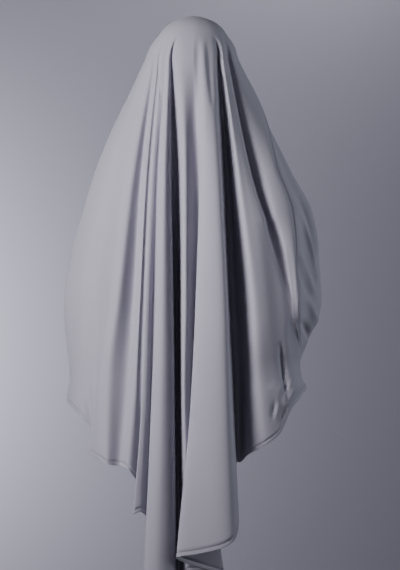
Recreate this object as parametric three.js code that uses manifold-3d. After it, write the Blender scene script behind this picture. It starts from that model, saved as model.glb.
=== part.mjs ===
// An instant hijab: a long two-panel cape of plain crepe, worn over the head and seen from behind.
// The back panel falls from the crown in deep folds to a long tail, the front panel carries the
// opening for the face, and one seam joins them over the head and down both sides to the hem.
//
// Millimetres. +Z is up, +Y is the way that the wearer faces and +X is the wearer's right.
// The origin is the inside of the crown, where the cloth bears on the top of the head.
//
// How the cloth is made: every fold is a guide, a curve that runs from the crown to the hem. A row
// of the cloth is one smooth closed curve through all the guides at one height, and the rows are
// joined to a wall of one thickness.
import * as THREE from "three";
import { mergeVertices } from "three/addons/utils/BufferGeometryUtils.js";
import Module from "manifold-3d";

const wasm = await Module();
wasm.setup();

// Driving dimensions
const HANG = 1290; // crown to the lowest point of the tail
const REACH = 284; // middle of the head to the cloth over an elbow, sideways
const BACK = 165; // middle of the head to the middle of the folds, backwards
const FRONT = 165; // middle of the head to the cloth over the front of the body
const FOLD = 60; // depth of a fold whose share is 1
const FLATNESS = 0.2; // how much flatter than an ellipse the back is at the elbows
const WALL = 2; // thickness of the cloth
const GAP = 0.3; // clearance between two pieces that touch
const HEM_GAP = 1; // clearance between a panel and its hem, measured down the cloth
const HEM_HEIGHT = 9; // height of the turned hem
const HEM_WALL = 3; // thickness of the turned hem
const SEAM_WIDTH = 3; // width of the raised seam
const SEAM_RISE = 1.4; // how far the raised seam stands above the cloth
const FACE_WIDTH = 150; // opening for the face, inside its band
const FACE_HEIGHT = 188;
const FACE_TOP = 34; // crown to the upper edge of the opening
const BAND_WIDTH = 13; // width of the band round the opening
const BAND_WALL = 2.6; // thickness of the band

// How finely the cloth is cut into facets
const ROWS = 22;
const BACK_STEPS = 2; // facets between two guides of the back
const FRONT_STEPS = 2;
const BAND_STEPS = 36;

// The outline. Each row is one height. down is a share of HANG, left and right are shares of REACH,
// back is a share of BACK and front is a share of FRONT.
const OUTLINE = [
  { down: 0.0, left: 0.0, right: 0.0, back: 0.0, front: 0.0 },
  { down: 0.0034, left: 0.105, right: 0.085, back: 0.2, front: 0.2 },
  { down: 0.0102, left: 0.18, right: 0.172, back: 0.35, front: 0.35 },
  { down: 0.0222, left: 0.252, right: 0.245, back: 0.47, front: 0.47 },
  { down: 0.0426, left: 0.32, right: 0.306, back: 0.575, front: 0.56 },
  { down: 0.0767, left: 0.391, right: 0.36, back: 0.655, front: 0.6 },
  { down: 0.128, left: 0.496, right: 0.457, back: 0.715, front: 0.6 },
  { down: 0.196, left: 0.643, right: 0.593, back: 0.78, front: 0.62 },
  { down: 0.264, left: 0.765, right: 0.748, back: 0.84, front: 0.75 },
  { down: 0.333, left: 0.862, right: 0.903, back: 0.9, front: 0.87 },
  { down: 0.401, left: 0.953, right: 0.963, back: 0.94, front: 0.94 },
  { down: 0.486, left: 1.012, right: 0.997, back: 0.97, front: 0.99 },
  { down: 0.505, left: 1.012, right: 0.985, back: 0.98, front: 1.0 },
  { down: 0.554, left: 0.996, right: 0.9, back: 1.0, front: 1.0 },
  { down: 0.598, left: 0.975, right: 0.83, back: 1.0, front: 0.99 },
  { down: 0.622, left: 0.968, right: 0.845, back: 1.0, front: 0.98 },
  { down: 0.64, left: 0.98, right: 0.88, back: 1.0, front: 0.97 },
  { down: 0.665, left: 0.992, right: 0.88, back: 1.0, front: 0.97 },
  { down: 1.0, left: 0.992, right: 0.88, back: 1.02, front: 0.97 },
];

// Heights at which the tables of guides say where a guide is, as shares of HANG. The hem is the last.
const NECK = 0.077;
const SHOULDER = 0.281;
const ELBOW = 0.486;
const WRIST = 0.622;

// The folds of the back, from the photograph's left to its right. at is the place sideways, as
// shares of REACH, at the neck, shoulder, elbow, wrist and hem. out is how far the fold stands out
// there, as shares of FOLD, and below 0 is a hollow. hem is the height of the hem at the fold, as a
// share of HANG. round is the width of a flat bottom, as a share of FOLD, where the fold has one.
const BACK_FOLDS = [
  { name: "wing", at: [-0.37, -0.69, -0.88, -0.885, -0.885], out: [0, 0, 0, 0, 0.05], hem: 0.685 },
  { name: "wing_hollow", at: [-0.355, -0.635, -0.83, -0.81, -0.775],
    out: [0, 0, 0, -0.05, -0.4], hem: 0.717 },
  { name: "wing_edge", at: [-0.345, -0.605, -0.75, -0.76, -0.82], out: [0, 0, 0, 0.02, 0.08], hem: 0.746 },
  { name: "soft_hollow", at: [-0.333, -0.55, -0.64, -0.717, -0.735],
    out: [0, -0.02, -0.05, -0.05, -0.04], hem: 0.758 },
  { name: "panel_crest", at: [-0.322, -0.475, -0.58, -0.655, -0.67],
    out: [0, 0.06, 0.08, 0.09, 0.09], hem: 0.7665 },
  { name: "left_hollow", at: [-0.302, -0.413, -0.472, -0.515, -0.575],
    out: [-0.07, -0.24, -0.32, -0.3, -0.25], hem: 0.769 },
  { name: "second_crest", at: [-0.283, -0.372, -0.418, -0.453, -0.505],
    out: [0.05, 0.14, 0.14, 0.12, 0.1], hem: 0.776 },
  { name: "thin_hollow", at: [-0.27, -0.347, -0.392, -0.41, -0.375],
    out: [0, 0.06, 0.04, 0, -0.5], hem: 0.81, round: 0.05 },
  { name: "third_crest", at: [-0.25, -0.322, -0.367, -0.387, -0.472],
    out: [0.04, 0.12, 0.12, 0.12, 0.16], hem: 0.85 },
  { name: "third_flank", at: [-0.235, -0.3, -0.343, -0.36, -0.405],
    out: [0.02, 0.08, 0.1, 0.1, 0.1], hem: 0.846 },
  { name: "roll_hollow", at: [-0.222, -0.283, -0.314, -0.328, -0.315],
    out: [0.02, 0.02, -0.08, -0.12, -0.5], hem: 0.868, round: 0.065 },
  { name: "roll_edge", at: [-0.208, -0.26, -0.287, -0.31, -0.395],
    out: [0.05, 0.24, 0.26, 0.26, 0.26], hem: 0.978 },
  { name: "roll_crest", at: [-0.196, -0.225, -0.235, -0.24, -0.28],
    out: [0.08, 0.36, 0.43, 0.46, 0.5], hem: 1.0 },
  { name: "roll_flank", at: [-0.184, -0.18, -0.17, -0.158, -0.155],
    out: [0.02, 0.12, 0.2, 0.2, 0.2], hem: 0.987 },
  { name: "middle_hollow", at: [-0.175, -0.155, -0.135, -0.13, -0.115],
    out: [-0.1, -0.5, -0.95, -1, -1], hem: 0.972, round: 0.12 },
  { name: "middle_flank", at: [-0.15, -0.112, -0.1, -0.1, -0.075],
    out: [0.02, -0.1, 0, 0, -0.25], hem: 0.958 },
  { name: "middle_crest", at: [-0.1, -0.065, -0.062, -0.072, -0.04],
    out: [0.08, 0.26, 0.3, 0.3, -0.05], hem: 0.948 },
  { name: "tail_hollow", at: [-0.005, 0.018, 0.03, 0.035, 0.22],
    out: [0.08, -0.12, -0.28, -0.35, -0.8], hem: 0.955, round: 0.15 },
  { name: "tail_edge", at: [0.03, 0.04, 0.01, -0.018, -0.15],
    out: [0.05, 0.1, 0.24, 0.28, 0.4], hem: 0.924 },
  { name: "tail_crest", at: [0.075, 0.095, 0.085, 0.07, 0.047],
    out: [0.14, 0.4, 0.52, 0.55, 0.72], hem: 0.9155 },
  { name: "tail_shoulder", at: [0.125, 0.19, 0.235, 0.25, 0.28],
    out: [0.08, 0.46, 0.58, 0.6, 0.72], hem: 0.9 },
  { name: "tail_flank", at: [0.165, 0.225, 0.265, 0.29, 0.345],
    out: [0.06, 0.02, 0.05, 0.05, 0.25], hem: 0.8745 },
  { name: "deep_hollow", at: [0.19, 0.258, 0.302, 0.335, 0.345],
    out: [-0.2, -0.85, -1.15, -1.15, -1.1], hem: 0.764, round: 0.13 },
  { name: "deep_flank", at: [0.21, 0.295, 0.37, 0.395, 0.415],
    out: [0, -0.35, -0.6, -0.6, -0.5], hem: 0.7505 },
  { name: "fourth_crest", at: [0.225, 0.345, 0.45, 0.49, 0.545],
    out: [0.14, 0.2, 0.12, 0.1, 0.05], hem: 0.735 },
  { name: "corner", at: [0.236, 0.385, 0.54, 0.6, 0.65], out: [0.12, 0.19, 0.14, 0.25, 0.25], hem: 0.718 },
  { name: "cuff_hollow", at: [0.246, 0.42, 0.62, 0.665, 0.69],
    out: [0.08, 0.16, 0.12, 0.36, 0.32], hem: 0.704 },
  { name: "cuff_crest", at: [0.254, 0.445, 0.7, 0.735, 0.748],
    out: [0.02, 0.1, 0.08, 0.6, 0.5], hem: 0.6755 },
  { name: "side_hollow", at: [0.264, 0.468, 0.752, 0.782, 0.8],
    out: [-0.18, -0.3, -0.05, 0.3, 0.3], hem: 0.661 },
  { name: "side_crest", at: [0.302, 0.56, 0.77, 0.812, 0.845],
    out: [0.05, 0.14, 0.06, 0.08, 0.1], hem: 0.648 },
];

// The folds of the front, on from the seam on the photograph's right, round the face and back to the
// left. turn is the angle in degrees round the head, from 0 at the back and 90 at the right. It is
// given at the same heights, and out and hem are as above.
const FRONT_FOLDS = [
  { name: "right_seam", turn: [102, 53, 51.2, 83, 86], out: [0, 0.3, 0.18, 0, 0], hem: 0.6395 },
  { name: "sleeve_hollow", turn: [111, 70, 63, 92, 95], out: [0, -0.06, -0.04, 0, 0], hem: 0.6395 },
  { name: "sleeve_crest", turn: [118, 79, 75, 99, 102], out: [0, 0.03, 0.03, 0, 0], hem: 0.641 },
  { name: "right_edge", turn: [126, 90, 90, 108, 110], out: [0, 0, 0, 0, 0], hem: 0.645 },
  { name: "right_hollow", turn: [133, 109, 108, 119, 121], out: [0, -0.05, -0.1, -0.15, -0.2], hem: 0.665 },
  { name: "right_crest", turn: [142, 127, 125, 131, 133], out: [0, 0.1, 0.13, 0.15, 0.25], hem: 0.69 },
  { name: "chest_hollow_right", turn: [152, 145, 143, 146, 147],
    out: [0, -0.12, -0.2, -0.25, -0.35], hem: 0.714 },
  { name: "chest_crest_right", turn: [165, 163, 161, 162, 162],
    out: [0, 0.1, 0.15, 0.15, 0.2], hem: 0.729 },
  { name: "chest_middle", turn: [180, 180, 180, 180, 180], out: [0, -0.1, -0.1, -0.15, -0.15], hem: 0.734 },
  { name: "chest_crest_left", turn: [195, 197, 199, 199, 199], out: [0, 0.1, 0.15, 0.2, 0.25], hem: 0.729 },
  { name: "chest_hollow_left", turn: [209, 215, 217, 217, 217],
    out: [0, -0.12, -0.2, -0.25, -0.35], hem: 0.714 },
  { name: "left_crest", turn: [223, 233, 235, 235, 235], out: [0, 0.1, 0.13, 0.15, 0.25], hem: 0.692 },
  { name: "left_hollow_front", turn: [235, 249, 250, 250, 250],
    out: [0, -0.03, -0.05, -0.08, -0.1], hem: 0.672 },
  { name: "left_seam", turn: [248, 262, 262, 262, 262], out: [0, 0, 0, 0, 0], hem: 0.662 },
  { name: "left_edge", turn: [263, 271, 271, 271, 271], out: [0, 0, 0, 0, 0], hem: 0.663 },
];

// A share down the cloth turned into a share along it. Near the crown the two differ, because the
// cloth there runs sideways: along grows with the square root of down.
const CROWN = 0.2;
function along(down) {
  return down < CROWN / 2 ? Math.sqrt(2 * CROWN * down) : down + CROWN / 2;
}
function downAt(share) {
  return share < CROWN ? (share * share) / (2 * CROWN) : share - CROWN / 2;
}

function smooth(low, high, value) {
  const t = THREE.MathUtils.clamp((value - low) / (high - low), 0, 1);
  return t * t * (3 - 2 * t);
}

// A curve through (keys, values) that doesn't swing past any of its values
function through(keys, values) {
  const rises = values.slice(1).map((v, i) => (v - values[i]) / (keys[i + 1] - keys[i]));
  const slopes = values.map((v, i) => {
    if (i === 0) return rises[0];
    if (i === rises.length) return rises[i - 1];
    const before = rises[i - 1];
    const after = rises[i];
    return before * after > 0 ? (2 * before * after) / (before + after) : 0;
  });
  return (key) => {
    let i = keys.findIndex((k) => k > key) - 1;
    if (i === -2) i = keys.length - 2;
    if (i < 0) i = 0;
    const width = keys[i + 1] - keys[i];
    const t = THREE.MathUtils.clamp((key - keys[i]) / width, 0, 1);
    const t2 = t * t;
    const t3 = t2 * t;
    return (
      (2 * t3 - 3 * t2 + 1) * values[i] +
      (t3 - 2 * t2 + t) * width * slopes[i] +
      (3 * t2 - 2 * t3) * values[i + 1] +
      (t3 - t2) * width * slopes[i + 1]
    );
  };
}

const heights = OUTLINE.map((row) => along(row.down));
const outlineOf = (column, size) => through(heights, OUTLINE.map((row) => row[column] * size));
const leftAt = outlineOf("left", REACH);
const rightAt = outlineOf("right", REACH);
const backAt = outlineOf("back", BACK);
const frontAt = outlineOf("front", FRONT);

// The outline's middle, half width and depths at one height
function sectionAt(down) {
  const h = along(down);
  return {
    middle: (rightAt(h) - leftAt(h)) / 2,
    half: (rightAt(h) + leftAt(h)) / 2,
    back: backAt(h),
    front: frontAt(h),
    flat: FLATNESS * smooth(NECK, ELBOW, down),
  };
}

// Depth of a section at a share of its half width: an ellipse, flattened across the back
function depthOf(depth, flat, share) {
  const fall = Math.max(0, 1 - share * share);
  return depth * Math.sqrt(fall) * (1 + 4 * flat * share * share * fall);
}

// The heights between which a fold leaves the head, as shares of HANG
const FOLD_START = 0.03;
const FOLD_FREE = 0.1;

// How far a fold stands out at each height
function swellOf(fold) {
  const swell = through([NECK, SHOULDER, ELBOW, WRIST, fold.hem], fold.out.map((share) => share * FOLD));
  return (down) => swell(down) * smooth(FOLD_START, NECK, down);
}

// A guide on the back: a function from down to [x, y]. shift moves it sideways.
function backGuide(fold, shift) {
  const sideways = through([NECK, SHOULDER, ELBOW, WRIST, fold.hem], fold.at.map((share) => share * REACH));
  const swell = swellOf(fold);
  const neck = sectionAt(NECK);
  const neckShare = (fold.at[0] * REACH - neck.middle) / neck.half;
  return (down) => {
    const s = sectionAt(down);
    const onHead = s.middle + s.half * neckShare;
    const x = THREE.MathUtils.lerp(onHead, sideways(down), smooth(FOLD_START, FOLD_FREE, down));
    const share = s.half > 0 ? THREE.MathUtils.clamp((x - s.middle) / s.half, -1, 1) : 0;
    const aside = shift * smooth(FOLD_START, SHOULDER, down);
    return [x + aside, -depthOf(s.back, s.flat, share) - swell(down)];
  };
}

// A guide on the front, or at a side: a function from down to [x, y]
function frontGuide(fold) {
  const turn = through([NECK, SHOULDER, ELBOW, WRIST, fold.hem], fold.turn);
  const swell = swellOf(fold);
  return (down) => {
    const s = sectionAt(down);
    const angle = THREE.MathUtils.degToRad(turn(down));
    const share = Math.sin(angle);
    const behind = Math.cos(angle) > 0;
    const depth = behind ? depthOf(s.back, s.flat, share) : -depthOf(s.front, 0, share);
    return [s.middle + s.half * share + swell(down) * share, -depth - swell(down) * Math.cos(angle)];
  };
}

// All the guides in one ring, from the seam on the left over the back
const leftSide = FRONT_FOLDS.slice(-2);
const rightSide = FRONT_FOLDS.slice(0, -2);
const backs = BACK_FOLDS.flatMap((fold) => {
  if (!fold.round) return [{ ...fold, shift: 0 }];
  return [
    { ...fold, shift: (-fold.round * FOLD) / 2 },
    { ...fold, shift: (fold.round * FOLD) / 2 },
  ];
});
const folds = [...leftSide, ...backs, ...rightSide];
const guides = folds.map((fold) => (fold.at ? backGuide(fold, fold.shift) : frontGuide(fold)));
const SEAM_LEFT = 0;
const SEAM_RIGHT = folds.findIndex((fold) => fold.name === "right_seam");

// Rows start level and bend to the hem: from BEND on, each guide makes up the way to its own hem.
const EVEN_HEM = 0.708;
const BEND = 0.5;
function downOf(fold, t) {
  const bend = Math.max(0, (t - BEND) / (1 - BEND)) ** 1.5;
  return downAt(t * along(EVEN_HEM)) + (fold.hem - EVEN_HEM) * bend;
}

const vector = (point) => new THREE.Vector3(...point);

// Where the columns of the cloth run between the guides: the guide's number and the part beyond it
const columnsAt = folds.flatMap((fold, k) => {
  const steps = k > SEAM_LEFT && k < SEAM_RIGHT ? BACK_STEPS : FRONT_STEPS;
  return Array.from({ length: steps }, (_, i) => (k + i / steps) / folds.length);
});
const SEAM_COLUMN = columnsAt.findIndex((share) => share >= SEAM_RIGHT / folds.length - 1e-9);

// The guides' own points on the row at t, where 0 is the crown and 1 is the hem
function knots(t) {
  return folds.map((fold, k) => {
    const down = downOf(fold, t);
    const [x, y] = guides[k](down);
    return vector([x, y, WALL - down * HANG]);
  });
}

// One row: the ring of points on the closed curve through the knots
function ring(t) {
  const curve = new THREE.CatmullRomCurve3(knots(t), true, "centripetal");
  return columnsAt.map((share) => curve.getPoint(share));
}

// The outer face of the whole cloth, and which way it faces, on a grid of rows and columns
const rowShares = Array.from({ length: ROWS }, (_, r) => (r + 1) / ROWS);
const rows = rowShares.map(ring);
const crown = vector([0, 0, WALL]);
const columns = rows[0].length;
const wrap = (c) => (c + columns) % columns;
const pointAt = (r, c) => (r < 0 ? crown : rows[r][wrap(c)]);
const facing = rows.map((row, r) =>
  row.map((_, c) => {
    const acrossWay = new THREE.Vector3().subVectors(pointAt(r, c + 1), pointAt(r, c - 1));
    const downWay = new THREE.Vector3().subVectors(pointAt(Math.min(r + 1, ROWS - 1), c), pointAt(r - 1, c));
    return downWay.cross(acrossWay).normalize();
  }),
);
const facingAt = (r, c) => (r < 0 ? vector([0, 0, 1]) : facing[r][wrap(c)]);
const moved = (point, way, distance) => point.clone().addScaledVector(way, distance);

// A closed wall between two grids of points. Each grid is rows of columns.
function wall(outer, inner) {
  const height = outer.length;
  const width = outer[0].length;
  const positions = [...outer.flat(), ...inner.flat()].flatMap((p) => p.toArray());
  const out = (r, c) => r * width + c;
  const inn = (r, c) => height * width + r * width + c;
  const index = [];
  const quad = (a, b, c, d) => index.push(a, b, c, a, c, d);
  for (let r = 0; r + 1 < height; r++) {
    for (let c = 0; c + 1 < width; c++) {
      quad(out(r, c), out(r + 1, c), out(r + 1, c + 1), out(r, c + 1));
      quad(inn(r, c), inn(r, c + 1), inn(r + 1, c + 1), inn(r + 1, c));
    }
    quad(out(r, 0), inn(r, 0), inn(r + 1, 0), out(r + 1, 0));
    quad(out(r, width - 1), out(r + 1, width - 1), inn(r + 1, width - 1), inn(r, width - 1));
  }
  for (let c = 0; c + 1 < width; c++) {
    quad(out(0, c), out(0, c + 1), inn(0, c + 1), inn(0, c));
    quad(out(height - 1, c), inn(height - 1, c), inn(height - 1, c + 1), out(height - 1, c + 1));
  }
  return geometryOf(positions, index);
}

// A geometry whose doubled points are one point, without the triangles that this closes up
function geometryOf(positions, index) {
  const loose = new THREE.BufferGeometry();
  loose.setAttribute("position", new THREE.Float32BufferAttribute(positions, 3));
  loose.setIndex(index);
  const merged = mergeVertices(loose, 1e-4);
  const corners = merged.index.array;
  const kept = [];
  for (let i = 0; i < corners.length; i += 3) {
    const [a, b, c] = corners.slice(i, i + 3);
    if (a !== b && b !== c && a !== c) kept.push(a, b, c);
  }
  merged.setIndex(kept);
  return merged;
}

// Share of the way down the last row at which the hem begins, so that the hem has its height
function hemStart(c, height) {
  const last = new THREE.Vector3().subVectors(pointAt(ROWS - 1, c), pointAt(ROWS - 2, c));
  return 1 - height / last.length();
}

// A panel: the wall from one column to another, from the crown down to where its hem begins.
// Its side edges and its tip at the crown stand back from the seam by half a gap.
function panel(first, last, tipWay) {
  const outer = [];
  const inner = [];
  for (let r = -1; r < ROWS; r++) {
    const outerRow = [];
    const innerRow = [];
    for (let c = first; c <= last; c++) {
      let point = pointAt(r, c);
      if (r === ROWS - 1) point = pointAt(r - 1, c).clone().lerp(point, hemStart(c, HEM_HEIGHT + HEM_GAP));
      if (r === -1) point = moved(point, tipWay, GAP / 2);
      else if (c === first || c === last) {
        const next = pointAt(r, c === first ? c + 1 : c - 1);
        const way = new THREE.Vector3().subVectors(next, pointAt(r, c)).normalize();
        point = moved(point, way, GAP / 2);
      }
      outerRow.push(point);
      innerRow.push(moved(point, facingAt(r, c), -WALL));
    }
    outer.push(outerRow);
    inner.push(innerRow);
  }
  return wall(outer, inner);
}

// A hem: the turned edge below a panel, a little thicker than the cloth
function hem(first, last) {
  const outer = [[], []];
  const inner = [[], []];
  const extra = (HEM_WALL - WALL) / 2;
  for (let c = first; c <= last; c++) {
    const shares = [hemStart(c, HEM_HEIGHT), 1];
    shares.forEach((share, i) => {
      let point = pointAt(ROWS - 2, c).clone().lerp(pointAt(ROWS - 1, c), share);
      if (c === first || c === last) {
        const next = pointAt(ROWS - 1, c === first ? c + 1 : c - 1);
        const way = new THREE.Vector3().subVectors(next, pointAt(ROWS - 1, c)).normalize();
        point = moved(point, way, GAP / 2);
      }
      outer[i].push(moved(point, facingAt(ROWS - 1, c), extra));
      inner[i].push(moved(point, facingAt(ROWS - 1, c), -WALL - extra));
    });
  }
  return wall(outer, inner);
}

// The seam: one kite-shaped cord from the right hem over the crown to the left hem, seated on the
// line where the two panels meet
function seam() {
  const stations = [];
  for (let r = ROWS - 1; r >= 0; r--) stations.push([r, SEAM_COLUMN]);
  stations.push([-1, SEAM_LEFT]);
  for (let r = 0; r < ROWS; r++) stations.push([r, SEAM_LEFT]);
  const line = stations.map(([r, c]) => {
    if (r < ROWS - 1) return pointAt(r, c);
    return pointAt(r - 1, c).clone().lerp(pointAt(r, c), hemStart(c, HEM_HEIGHT + 2 * HEM_GAP));
  });
  const sections = stations.map(([r, c], i) => {
    const up = facingAt(r, c);
    const forward = new THREE.Vector3().subVectors(
      line[Math.min(i + 1, line.length - 1)],
      line[Math.max(i - 1, 0)],
    );
    const side = forward.cross(up).normalize();
    const base = moved(line[i], up, 2 * GAP);
    const middle = moved(base, up, SEAM_RISE / 2);
    return [
      base,
      moved(middle, side, SEAM_WIDTH / 2),
      moved(base, up, SEAM_RISE),
      moved(middle, side, -SEAM_WIDTH / 2),
    ];
  });
  const index = [0, 1, 2, 0, 2, 3];
  const end = (sections.length - 1) * 4;
  index.push(end, end + 2, end + 1, end, end + 3, end + 2);
  for (let i = 0; i + 1 < sections.length; i++) {
    for (let k = 0; k < 4; k++) {
      const a = i * 4 + k;
      const b = i * 4 + ((k + 1) % 4);
      index.push(a, b + 4, b, a, a + 4, b + 4);
    }
  }
  return geometryOf(sections.flat().flatMap((p) => p.toArray()), index);
}

// The face's opening is an oval in the front view
const faceMiddle = WALL - FACE_TOP - FACE_HEIGHT / 2;
function oval(grow) {
  const halfWidth = FACE_WIDTH / 2 + grow;
  const halfHeight = FACE_HEIGHT / 2 + grow;
  return Array.from({ length: BAND_STEPS }, (_, i) => {
    const angle = (i / BAND_STEPS) * 2 * Math.PI;
    return new THREE.Vector2(halfWidth * Math.cos(angle), faceMiddle + halfHeight * Math.sin(angle));
  });
}

// The point of the cloth's outer face in front of the wearer at x and z
function onFront(x, z) {
  const t = along((WALL - z) / HANG) / along(EVEN_HEM);
  const curve = new THREE.CatmullRomCurve3(knots(t), true, "centripetal");
  let low = (SEAM_RIGHT + 1) / folds.length;
  let high = 1;
  for (let i = 0; i < 40; i++) {
    const middle = (low + high) / 2;
    if (curve.getPoint(middle).x > x) low = middle;
    else high = middle;
  }
  return curve.getPoint((low + high) / 2);
}

// The band: a flat strip round the face's opening, in line with the cloth
function band() {
  const edges = [oval(BAND_WIDTH), oval(0)];
  const points = edges.map((edge) => edge.map((p) => onFront(p.x, p.y)));
  const count = BAND_STEPS;
  const sections = points[0].map((outerPoint, i) => {
    const innerPoint = points[1][i];
    const next = points[0][(i + 1) % count];
    const before = points[0][(i + count - 1) % count];
    const around = new THREE.Vector3().subVectors(next, before);
    const inwards = new THREE.Vector3().subVectors(innerPoint, outerPoint);
    const out = around.cross(inwards).normalize();
    const extra = (BAND_WALL - WALL) / 2;
    return [
      moved(outerPoint, out, extra),
      moved(innerPoint, out, extra),
      moved(innerPoint, out, -WALL - extra),
      moved(outerPoint, out, -WALL - extra),
    ];
  });
  const index = [];
  for (let i = 0; i < count; i++) {
    for (let k = 0; k < 4; k++) {
      const a = i * 4 + k;
      const b = i * 4 + ((k + 1) % 4);
      const c = ((i + 1) % count) * 4 + ((k + 1) % 4);
      const d = ((i + 1) % count) * 4 + k;
      index.push(a, c, b, a, d, c);
    }
  }
  return geometryOf(sections.flat().flatMap((p) => p.toArray()), index);
}

function solidOf(geometry) {
  const merged = mergeVertices(geometry, 1e-4);
  return new wasm.Manifold(
    new wasm.Mesh({
      numProp: 3,
      vertProperties: merged.attributes.position.array,
      triVerts: new Uint32Array(merged.index.array),
    }),
  );
}

function geometryFrom(solid) {
  const mesh = solid.getMesh();
  return new THREE.BufferGeometry()
    .setAttribute("position", new THREE.BufferAttribute(mesh.vertProperties, 3))
    .setIndex(new THREE.BufferAttribute(mesh.triVerts, 1));
}

// What the opening for the face removes: the oval, from the middle of the head forwards
function faceCut() {
  const prism = new THREE.ExtrudeGeometry(new THREE.Shape(oval(BAND_WIDTH + GAP)), {
    depth: 2 * FRONT,
    bevelEnabled: false,
  });
  prism.deleteAttribute("normal");
  prism.deleteAttribute("uv");
  prism.rotateX(Math.PI / 2);
  prism.translate(0, 2 * FRONT, 0);
  return solidOf(prism);
}

const cloth = { color: 0xb6b5bb, roughness: 0.8, metalness: 0 };
const group = new THREE.Group();
function add(name, geometry, look = cloth) {
  const mesh = new THREE.Mesh(geometry, new THREE.MeshStandardMaterial(look));
  mesh.name = name;
  group.add(mesh);
}

add("back_panel", panel(SEAM_LEFT, SEAM_COLUMN, vector([0, -1, 0])));
const wholeFront = solidOf(panel(SEAM_COLUMN, columns, vector([0, 1, 0])));
add("front_panel", geometryFrom(wholeFront.subtract(faceCut())));
add("back_hem", hem(SEAM_LEFT, SEAM_COLUMN));
add("front_hem", hem(SEAM_COLUMN, columns));
add("panel_seam", seam());
add("face_band", band());

export default group;
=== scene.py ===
# %% [markdown]
# # Instant hijab
# An instant hijab is pulled on over the head and needs no pins. This one is long, and hangs in folds
# to a tail behind.
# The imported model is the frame: every piece here is in its metres and its axes. +Z is up, +Y is the
# way that the wearer faces, and the photograph looks along +Y at the back.

# %% Load the frame
import math

import bpy
import numpy as np
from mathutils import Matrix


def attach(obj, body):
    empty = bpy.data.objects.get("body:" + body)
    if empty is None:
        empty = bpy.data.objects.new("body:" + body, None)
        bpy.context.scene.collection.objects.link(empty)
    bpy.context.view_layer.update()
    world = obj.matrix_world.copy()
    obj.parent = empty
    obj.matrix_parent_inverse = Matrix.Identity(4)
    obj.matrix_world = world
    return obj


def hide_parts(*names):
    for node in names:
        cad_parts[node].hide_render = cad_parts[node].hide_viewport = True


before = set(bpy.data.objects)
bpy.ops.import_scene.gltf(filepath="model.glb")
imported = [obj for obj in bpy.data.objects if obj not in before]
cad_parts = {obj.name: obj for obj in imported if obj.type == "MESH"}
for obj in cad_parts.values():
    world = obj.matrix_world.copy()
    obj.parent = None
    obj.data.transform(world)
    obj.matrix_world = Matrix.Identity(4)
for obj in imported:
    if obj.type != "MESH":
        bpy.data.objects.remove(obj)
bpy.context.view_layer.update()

# %% [markdown]
# ## The named sizes
# They are the sizes that the solids are made from, in millimetres. The solids' cloth is 2 mm thick so
# that it can be printed and tested. Real crepe is thinner, so the looks have sizes of their own.

# %% Sizes
HANG = 1290
REACH = 284
BACK = 165
FRONT = 165
FOLD = 60
FLATNESS = 0.2
WALL = 2
HEM_HEIGHT = 9
FACE_WIDTH = 150
FACE_HEIGHT = 188
FACE_TOP = 34
BAND_WIDTH = 13

# The thickness of the cloth in the looks, and metres to a millimetre
CLOTH = 0.9
MM = 0.001
print("the cloth hangs", HANG, "mm and is", 2 * REACH, "mm wide")

# %% [markdown]
# ## The camera
# The photograph is 400 pixels wide and 570 high, and 2.2 mm of the cloth fill a pixel. The camera is
# level and behind the wearer. A near camera with a short lens would frame the cloth as well, but it
# would draw the near folds too large, so this one is far away and its lens is long.

# %% Camera
PHOTO_WIDTH = 400
PHOTO_HEIGHT = 570
PIXEL = 2.2
CENTRE_COLUMN = 194
CROWN_ROW = 15
DISTANCE = 12.0
CLOTH_DEPTH = -0.09
SENSOR = 24

camera_data = bpy.data.cameras.new("camera")
camera = bpy.data.objects.new("camera", camera_data)
bpy.context.scene.collection.objects.link(camera)
bpy.context.scene.camera = camera
camera.location = (
    (PHOTO_WIDTH / 2 - CENTRE_COLUMN) * PIXEL * MM,
    CLOTH_DEPTH - DISTANCE,
    -(PHOTO_HEIGHT / 2 - CROWN_ROW) * PIXEL * MM,
)
camera.rotation_euler = (math.radians(90), 0, 0)
camera_data.sensor_fit = "VERTICAL"
camera_data.sensor_height = SENSOR
camera_data.lens = SENSOR * DISTANCE / (PHOTO_HEIGHT * PIXEL * MM)
print("lens", round(camera_data.lens, 1), "mm, at", [round(x, 2) for x in camera.location])

# %% [markdown]
# ## The tables
# Cloth on a head could be dropped on by a simulation, but the folds would fall where they like. Here
# each fold has a row in a table, so it lies where the photograph shows it, and the solids and the
# looks share the tables: the outline by height, and the folds of the back and the front.

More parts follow.
